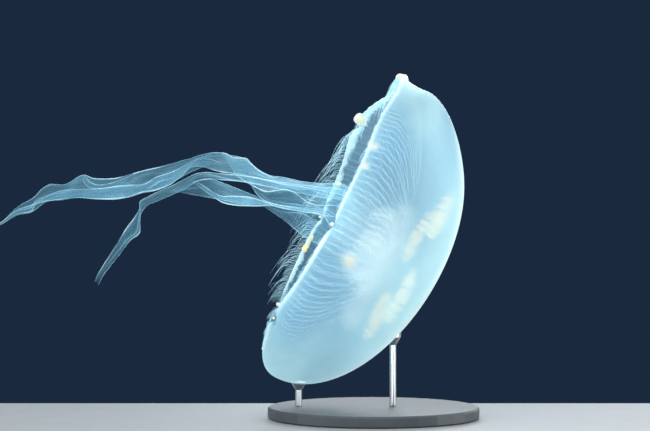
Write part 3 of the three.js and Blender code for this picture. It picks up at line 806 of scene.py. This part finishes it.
ROOF, MOUTH_HEIGHT = 47.3, 31.0
CORNERED, PLEAT = 0.14, 0.01
STALK = ((0.3, ROOF), (11, ROOF - 1), (19, ROOF - 5), (24, ROOF - 11), (24, MOUTH_HEIGHT - 1))
STALK += ((19, MOUTH_HEIGHT - 8), (8, MOUTH_HEIGHT - 9), (0.3, MOUTH_HEIGHT - 7))
stalk_radius, stalk_height = (line[:, None] for line in smooth_line(STALK, 70).T)
turn = np.arange(192)[None, :] * 360 / 192
corner = np.cos(np.radians(4 * (turn - 10)))
pleat = PLEAT * np.sin(np.radians(28 * turn)) * np.clip((ROOF - stalk_height) / 10, 0, 1)
rings = in_bell(turn, stalk_radius * (1 + CORNERED * corner + pleat), stalk_height + 0 * turn)
stalk = link(closed_skin("mouth_stalk", rings), "mouth_stalk")
stalk_jelly, n = bare_material("stalk_jelly")
bulk = n.noise(n.place(), 40, 3)
jelly(n, soft(n, 0.12 + 0.9 * bulk * bulk, 1.0, 3.0), (0.97, 0.98, 0.90), (0.9, 0.96, 0.88), 0.5)
stalk.data.materials.append(stalk_jelly)
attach(stalk, "root")
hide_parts("manubrium")

# --- The oral arms --------------------------------------------------------------------------------------
# Four long veils of thin jelly, each a gutter of a keel and two wings with ruffled lips, pleated along
# their length and folded over themselves in the current. They trail behind the bell.

VEILS = {  # each sheet as how far back its two edges lie, and the edges in X and Z
    "upper": (
        (  # upper back
            (7, 2),
            (
                (-251, 112.1), (-240, 116.4), (-230.7, 119.7), (-220.1, 129.4), (-209.8, 135.5),
                (-204.2, 141), (-199.2, 143.5), (-190.9, 143.5), (-179.5, 149.3), (-173.3, 147.4),
                (-160, 147.4), (-151.2, 149.5), (-142.4, 152.1), (-131.8, 154.4), (-121.2, 157.3),
                (-112.4, 159.7), (-107.1, 161.5), (-99.1, 163.1), (-91.2, 162.7), (-87.3, 160.6),
                (-82.3, 159.9), (-78.5, 159.7), (-75.3, 156.4), (-70.9, 152.7), (-63.8, 149),
                (-56.7, 148.1), (-43.5, 145.3), (-31.1, 144), (-17.5, 143.1), (-5, 128), (2, 117),
            ),
            (
                (-251, 111.8), (-239.8, 114.9), (-229.6, 118.4), (-219.1, 124.8), (-209.9, 126.9),
                (-207.7, 130.7), (-201.5, 132.9), (-191.8, 134.1), (-182.2, 135.3), (-173.4, 134.6),
                (-159.3, 134.4), (-150.6, 135.8), (-141.8, 138.5), (-133.4, 139.9), (-124.2, 143.7),
                (-117.2, 149), (-112.8, 153.2), (-106.7, 154.3), (-98.7, 152.2), (-93.5, 150.8),
                (-88.2, 150.1), (-82.9, 149.4), (-76.8, 148.1), (-70.6, 146.9), (-63.6, 145.1),
                (-55.7, 143.4), (-43.4, 141.6), (-31.1, 139), (-17.6, 135.5), (-10, 122), (-1, 111),
            ),
        ),
        (  # upper front
            (0, 4),
            (
                (-225.7, 122), (-219.4, 127.6), (-209.9, 130.7), (-199.7, 136.7), (-190.6, 139.7),
                (-178.9, 140.4), (-166.6, 140.9), (-156.8, 142.5), (-148.9, 143), (-140.8, 143.7),
                (-133.7, 147.7), (-124, 150.9), (-115.3, 155.3), (-106.5, 159.8), (-98.6, 162.5),
            ),
            (
                (-226.5, 120.2), (-219.1, 124.4), (-210.3, 126.5), (-201, 132.7), (-192.2, 133.7),
                (-182.5, 135), (-171.9, 134.3), (-159.6, 134.1), (-150.8, 135.5), (-142, 138.2),
                (-134.1, 139.6), (-126.2, 142.6), (-119.1, 147.3), (-110.3, 151.9), (-98.9, 155.8),
            ),
        ),
        (  # upper fold
            (3, 6),
            (
                (-178.8, 149.2), (-176.2, 146.9), (-173.6, 144.5), (-169.2, 143.1), (-162.1, 144.1),
                (-154.2, 146.9), (-146.3, 150.4),
            ),
            (
                (-179.3, 148.8), (-178.6, 144.9), (-175.8, 141.7), (-169.6, 140.8), (-162.5, 141.2),
                (-154.6, 142.2), (-146.7, 143.5),
            ),
        ),
        (  # upper broad
            (8, -2),
            (
                (-93, 162.3), (-80.6, 159.8), (-75.3, 155.9), (-70.9, 152.2), (-63.8, 148.5),
                (-56.8, 147.4), (-43.5, 144.6), (-31.1, 143.3), (-17.5, 142.3), (-6, 127), (1, 116),
            ),
            (
                (-90.6, 159.1), (-83.6, 148.6), (-75.7, 143.3), (-70.5, 140.5), (-64.3, 138.8),
                (-53.9, 140), (-47.7, 137.7), (-39.9, 131.9), (-31.1, 130.4), (-17.6, 129.3), (-13, 118),
                (-3, 108),
            ),
        ),
    ),
    "near": (
        (  # near
            (-12, -7),
            (
                (-169.5, 83.9), (-166.9, 89.5), (-162.6, 96.4), (-156.6, 105.9), (-150.5, 116.3),
                (-145.3, 123.2), (-142.4, 128.4), (-141.9, 132.7), (-136.7, 135.8), (-129.7, 139.3),
                (-122.8, 142.2), (-115, 146.2), (-109, 149.2), (-102.9, 150.4), (-93.4, 149.7),
                (-81.3, 148.6), (-70, 146.9), (-57.9, 144.8), (-45.8, 143.1), (-32.8, 141.4),
                (-17.8, 139.1), (-9, 122), (-3, 111),
            ),
            (
                (-167.7, 81.4), (-165.4, 86.7), (-160.7, 93.1), (-153.8, 101.8), (-148.5, 108.8),
                (-142.8, 113.6), (-142.5, 120.6), (-141.6, 125.8), (-137.2, 130.7), (-130.3, 133.5),
                (-123.3, 136.6), (-115.5, 140.1), (-107.7, 144.9), (-100.7, 146.3), (-92, 145.8),
                (-81.6, 144.9), (-70.3, 142.9), (-58.1, 140.4), (-45.9, 138), (-32.8, 135.2),
                (-17.7, 131.9), (-14, 114), (-7, 105),
            ),
        ),
    ),
    "lower": (
        (  # lower wide
            (-3, -9),
            (
                (-125.5, 139.1), (-116.7, 142.4), (-108, 145.7), (-99.3, 146.4), (-92.3, 144.2),
                (-83.5, 140.7), (-74.8, 137.3), (-66.1, 133.2), (-56.4, 130.4), (-43.3, 129),
                (-31.1, 127.2), (-20, 118), (-9, 106),
            ),
            (
                (-124.9, 137.6), (-119.6, 138.5), (-109.2, 136.6), (-98.8, 134.8), (-88.4, 132.8),
                (-78, 130.3), (-69.3, 130), (-63.2, 130.1), (-56.3, 128.6), (-43.3, 126.3), (-31.1, 124.1),
                (-24, 112), (-12, 101),
            ),
        ),
        (  # lower crease
            (-9, -11),
            (
                (-111.8, 146.3), (-106.8, 144.3), (-99.7, 139.7), (-92.6, 136.2), (-84.5, 136.2),
                (-74.4, 135.1), (-67.3, 132.8), (-62.7, 130.8),
            ),
            (
                (-111.7, 145.2), (-105.6, 141.2), (-98.5, 136.1), (-91.4, 131.8), (-83.4, 130.2),
                (-74.3, 129.8), (-67.2, 129.9), (-62.6, 130),
            ),
        ),
        (  # lower lip
            (-6, 2),
            (
                (-78.1, 147.9), (-72, 141.8), (-66.8, 139), (-60.7, 139.4), (-53.7, 140.1), (-48.2, 138),
                (-43.3, 134.5), (-38.9, 131.6), (-31.1, 130.3), (-20.7, 129.6), (-15, 121), (-6, 108),
            ),
            (
                (-76.8, 145.5), (-70.6, 136), (-62.7, 130.7), (-56.6, 128.8), (-50.4, 127.8),
                (-43.4, 126.5), (-37.3, 125.5), (-31.1, 124.2), (-25.8, 123.5), (-20.6, 122.7), (-20, 110),
                (-11, 100),
            ),
        ),
    ),
    "far": (
        (  # far
            (12, 17),
            (
                (-71.1, 139.2), (-64.9, 134.7), (-56.9, 132.6), (-43.6, 130.8), (-27.6, 127.6), (-15, 118),
                (-2, 109),
            ),
            (
                (-67.7, 129.4), (-60.6, 125), (-54.3, 120.5), (-49, 115.9), (-43.3, 111.2), (-28, 104),
                (-10, 101),
            ),
        ),
    ),
}
LENGTHS = {"upper": 4, "near": 3, "lower": 2, "far": 2}  # how many nodes each arm replaces
# How cloudy the veils are, by where along X.
MILK = (-210, 0.85), (-168, 1.0), (-120, 1.0), (-106, 0.85), (-90, 1.7), (-60, 1.6), (-40, 1.4)
VEIL_WALL, ROWS_PER_MM, ROWS_ACROSS = 0.12, 2.0, 38


def even(knots, count):
    """Points at even distances along a smooth line through knots."""
    line = smooth_line(knots, 12 * len(knots))
    travelled = np.concatenate([[0], np.cumsum(np.linalg.norm(np.diff(line, axis=0), axis=1))])
    share = np.linspace(0, travelled[-1], count)
    return np.stack([np.interp(share, travelled, axis) for axis in line.T], -1)


def wander(random, count, waves, low, high):
    """A smooth random line of numbers."""
    knots = random.uniform(low, high, waves + 3)
    return smooth_line(np.stack([knots, knots * 0], -1), count)[:, 0][:, None]


def veil(name, sheet, seed):
    """One thin closed sheet between two edges. Across it, s runs from the lower edge, -1, to the upper edge,
    1, and where it is slack it doubles back on itself."""
    random = np.random.default_rng(seed)
    (upper_depth, lower_depth), upper, lower = sheet
    length = np.linalg.norm(np.diff(np.array(upper), axis=0), axis=1).sum()
    count, waves = int(length * ROWS_PER_MM), max(3, int(length / 22))
    edges = []
    for knots, depth in ((upper, upper_depth), (lower, lower_depth)):
        x, z = even(knots, count).T
        edges.append(np.stack([x, 0 * x + depth, z], -1))
    upper, lower = edges
    s = np.linspace(-1, 1, ROWS_ACROSS)[None, :]
    s = 0.65 * s + 0.35 * np.sin(np.pi / 2 * s)
    t = np.linspace(0, 1, count)[:, None]
    width = np.linalg.norm(upper - lower, axis=1)[:, None]
    slack = wander(random, count, waves, 0.0, 0.36) * (1 - s**2) * np.clip(width / 9, 0, 1)
    phase = wander(random, count, waves, 0, 7)
    folded = np.clip(s + slack * np.sin(np.pi * 1.5 * s + phase), -1, 1)
    middle = (upper[:, None] * (1 + folded[..., None]) + lower[:, None] * (1 - folded[..., None])) / 2
    billow = 0.13 * np.minimum(width, 14) * np.sin(2.2 * s + wander(random, count, waves, -2, 2))
    deep = 2.2 * slack * np.minimum(width, 9) * 0.35 * np.cos(np.pi * 1.5 * s + phase) + billow
    ruffle = 0.05 * width * np.abs(s) ** 3 * np.sin(2 * np.pi * t * length / 11 + np.sign(s) + phase)
    middle = middle + np.stack([0 * deep, deep + ruffle, 0 * deep], -1)
    face = np.cross(np.gradient(middle, axis=0), np.gradient(middle, axis=1))
    face /= np.linalg.norm(face, axis=2)[..., None] + 1e-9
    wall = VEIL_WALL * (np.clip(30 * t, 0.3, 1) * np.ones_like(s))[..., None]
    rings = np.concatenate([middle + face * wall, (middle - face * wall)[:, ::-1]], 1)
    from_edge = width * (1 - np.abs(s)) / 2
    ends = np.clip(t * length / 40, 0, 1) ** 0.5 * np.clip((1 - t) * length / 14, 0, 1)
    deep_in = np.clip(((middle - RIM_CENTRE) @ APEX_WARD) / 15, 0, 1)
    milk = np.interp(middle[..., 0], *zip(*MILK)) * (1 - 0.85 * deep_in) * ends
    lip = np.exp(-((from_edge / 0.4) ** 2)) * (0.6 + 0.4 * np.sin(phase + 5 * t)) * milk
    layers = {key: np.concatenate([v, v[:, ::-1]], 1) for key, v in (("lip", lip), ("milk", milk))}
    return closed_skin(name, rings, None, layers)


arm_jelly, n = bare_material("arm_jelly")
fibres = n.noise(n.along(22, 6), 1.0, 3, 0.6)
film = (0.03 + 0.22 * fibres * fibres) * n.attribute("milk")
shown = slanted(n, film + 0.52 * n.attribute("lip"), 0.7)
colour = n.tint(n.fade(shown, 0.08, 0.5), (0.28, 0.68, 0.91), (0.82, 0.98, 0.99))
jelly(n, shown, colour, (0.50, 0.83, 0.96), 0.5, None, 0.1)
for first_seed, (name, sheets) in enumerate(VEILS.items()):
    piece = joined(
        f"veil_{name}", [veil("veil", sheet, 10 * first_seed + i + 3) for i, sheet in enumerate(sheets)]
    )
    piece.data.materials.append(arm_jelly)
    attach(piece, "root")
    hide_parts(*[f"arm_{name}_{i + 1}" for i in range(LENGTHS[name])])

# --- The stand ------------------------------------------------------------------------------------------
# A satin slate slab and two steel rods set in it, whose flared heads hold the dome.

slate, n = bare_material("slate")
specks = n.noise(n.place(), 700, 3)
veins = n.noise(n.place(), 35, 4, 0.6, 0.8)
stone = n.tint(veins, (0.030, 0.036, 0.042), (0.062, 0.070, 0.078))
opaque(n, stone, 0.38 + 0.16 * specks, n.bump(specks, 0.0001, 0.5))
steel, n = bare_material("steel")
stretched = n.add("ShaderNodeMapping", (), {"Vector": n.place(), "Scale": (1, 1, 0.02)})
brushing = n.noise(stretched, 3000, 2)
opaque(n, (0.62, 0.63, 0.65, 1), 0.22 + 0.16 * brushing, n.bump(brushing, 0.00002, 0.6), 1.0)
for name, material in (("stand_base", slate), ("stand_rod_1", steel), ("stand_rod_2", steel)):
    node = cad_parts[name]
    node.data.materials.clear()
    node.data.materials.append(material)
